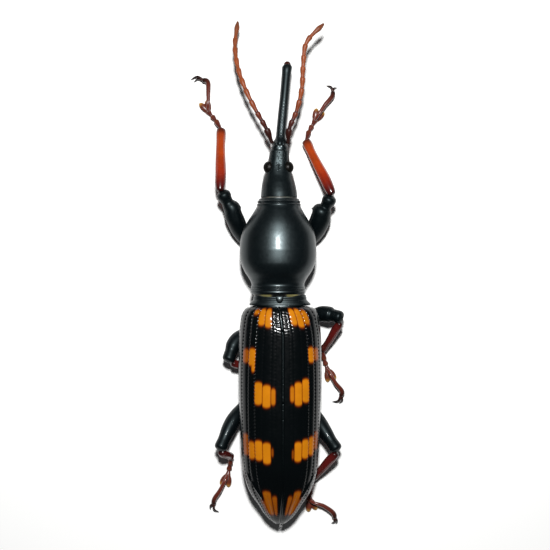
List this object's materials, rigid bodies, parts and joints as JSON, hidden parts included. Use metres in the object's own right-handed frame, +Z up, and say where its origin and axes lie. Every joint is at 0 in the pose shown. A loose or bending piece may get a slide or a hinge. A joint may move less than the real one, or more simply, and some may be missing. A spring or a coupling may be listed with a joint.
{
  "type": "giant straight-snouted weevil (Eutrachelus temminckii), still life-size model",
  "caption": "Long, narrow black beetle with a straight slender snout, bulbous prothorax, grooved glossy wing cases, clubbed thighs and jointed feelers, resting on its feet.",
  "frame": {"origin": "centre of the model's bounding box in x and y, on the floor that its feet stand on", "axes": "+X to the beetle's left side, +Y towards its tail end, +Z up"},
  "size_m": [0.0208, 0.0664, 0.0096],
  "materials": {
    "shell_satin": "satin black chitin with a faint blue-green tint",
    "wing_case": "glossy black chitin with rows of orange spots",
    "leg_red_orange": "glossy red-orange chitin, crimson near the knee",
    "leg_dark_red": "glossy dark red chitin",
    "tarsus": "maroon-brown chitin with yellow-brown pads",
    "feeler": "satin orange-brown chitin, darker at the base",
    "claw": "glossy, nearly black claws on a dark maroon segment",
    "eye": "glossy brown-black eye with fine facets"
  },
  "bodies": {
    "root": {"rostrum": "shell_satin", "head": "shell_satin", "eye_left": "eye", "eye_right": "eye", "antenna_left_scape": "feeler", "antenna_left_middle": "feeler", "antenna_left_tip": "feeler", "antenna_right_scape": "feeler", "antenna_right_middle": "feeler", "antenna_right_tip": "feeler", "prothorax": "shell_satin", "mesothorax": "shell_satin", "metathorax": "shell_satin", "abdomen": "shell_satin", "elytron_left": "wing_case", "elytron_right": "wing_case", "coxa_front_left": "shell_satin", "coxa_front_right": "shell_satin", "coxa_middle_left": "shell_satin", "coxa_middle_right": "shell_satin", "coxa_hind_left": "shell_satin", "coxa_hind_right": "shell_satin", "femur_front_left": "shell_satin", "femur_front_right": "shell_satin", "femur_middle_left": "shell_satin", "femur_middle_right": "shell_satin", "femur_hind_left": "shell_satin", "femur_hind_right": "shell_satin", "tibia_front_left": "leg_red_orange", "tibia_front_right": "leg_red_orange", "tibia_middle_left": "leg_dark_red", "tibia_middle_right": "leg_dark_red", "tibia_hind_left": "leg_dark_red", "tibia_hind_right": "leg_dark_red", "tarsus_front_left": "tarsus", "tarsus_front_right": "tarsus", "tarsus_middle_left": "tarsus", "tarsus_middle_right": "tarsus", "tarsus_hind_left": "tarsus", "tarsus_hind_right": "tarsus", "claws_front_left": "claw", "claws_front_right": "claw", "claws_middle_left": "claw", "claws_middle_right": "claw", "claws_hind_left": "claw", "claws_hind_right": "claw"}
  },
  "joints": []
}
